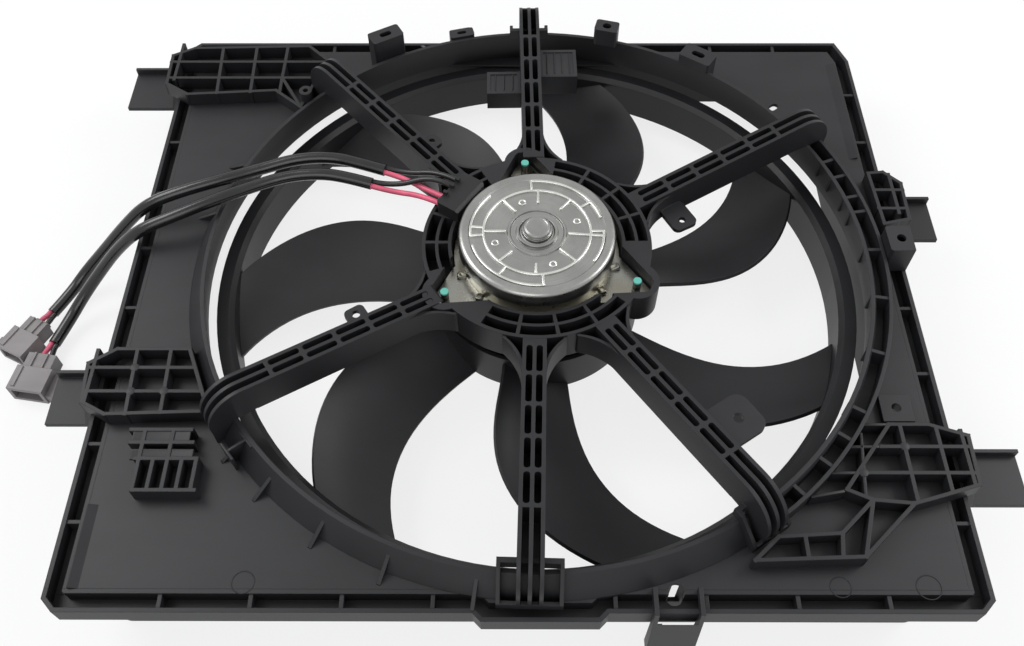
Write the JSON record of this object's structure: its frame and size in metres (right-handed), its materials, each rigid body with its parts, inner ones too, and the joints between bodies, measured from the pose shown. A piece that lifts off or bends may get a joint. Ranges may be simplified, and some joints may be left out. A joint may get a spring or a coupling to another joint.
{
  "type": "radiator fan",
  "caption": "Electric radiator cooling fan: a ringed axial fan hung under radial struts in a ribbed black plastic shroud, with sleeved leads ending in grey connectors.",
  "frame": {"origin": "on the floor under the middle of the shroud's outline, leads left out", "axes": "+Z is the fan's axis, motor side up; +X is the shroud's long way, away from the leads; -Y is the near side with the hanger"},
  "size_m": [0.6371, 0.446, 0.0955],
  "materials": {
    "shroud_plastic": "fine moulded grain",
    "fan_plastic": "moulded satin",
    "motor_steel": "black coated",
    "cap_metal": "pressed, dull silver",
    "zinc_plate": "yellowish zinc plate",
    "screw_steel": "green zinc plate",
    "bearing_steel": "ground",
    "magnet_ferrite": "sintered ferrite",
    "core_iron": "stamped stack",
    "copper": "enamelled copper",
    "card_plastic": "phenolic",
    "brush_carbon": "pressed carbon",
    "contact_brass": "stamped",
    "block_plastic": "moulded",
    "sleeve_black": "smooth tube",
    "wire_black": "smooth",
    "wire_red": "smooth, faded red",
    "connector_grey": "satin grey",
    "seal_rubber": "moulded"
  },
  "bodies": {
    "root": {"brush_card": "card_plastic", "brush_holders": "contact_brass", "brush_springs": "bearing_steel", "brushes": "brush_carbon", "clip_far": "shroud_plastic", "clip_far_left": "shroud_plastic", "clip_far_low": "shroud_plastic", "clip_far_right": "shroud_plastic", "clip_right": "shroud_plastic", "connector_a": "connector_grey", "connector_b": "connector_grey", "front_bearing": "bearing_steel", "hanger_near": "shroud_plastic", "harness_clip": "shroud_plastic", "lead_sleeve_a": "sleeve_black", "lead_sleeve_b": "sleeve_black", "magnets": "magnet_ferrite", "motor_can": "motor_steel", "motor_end_cap": "cap_metal", "motor_flange": "zinc_plate", "motor_ring": "shroud_plastic", "motor_screws": "screw_steel", "pad_far_left": "shroud_plastic", "pad_far_right": "shroud_plastic", "pad_near_left": "shroud_plastic", "pad_near_right": "shroud_plastic", "rear_bearing": "bearing_steel", "shroud_barrel": "shroud_plastic", "shroud_deck": "shroud_plastic", "shroud_rail": "shroud_plastic", "shroud_skirt": "shroud_plastic", "strut_1": "shroud_plastic", "strut_2": "shroud_plastic", "strut_3": "shroud_plastic", "strut_4": "shroud_plastic", "strut_5": "shroud_plastic", "strut_6": "shroud_plastic", "strut_clip_left": "shroud_plastic", "strut_clip_right": "shroud_plastic", "tail_black_a": "wire_black", "tail_black_b": "wire_black", "tail_red_a": "wire_red", "tail_red_b": "wire_red", "terminals": "contact_brass", "wire_black_a": "wire_black", "wire_black_b": "wire_black", "wire_block": "block_plastic", "wire_red_a": "wire_red", "wire_red_b": "wire_red", "wire_seals": "seal_rubber"},
    "rotor": {"fan_hub": "fan_plastic", "fan_blades": "fan_plastic", "fan_ring": "fan_plastic", "fan_nut": "screw_steel", "motor_shaft": "bearing_steel", "armature_core": "core_iron", "armature_windings": "copper", "commutator": "copper"}
  },
  "joints": [
    {"name": "fan_spin", "type": "hinge", "parent": "root", "child": "rotor", "pos_m": [0.0125, 0.01, 0.042], "axis": [0, 0, 1], "continuous": true}
  ]
}
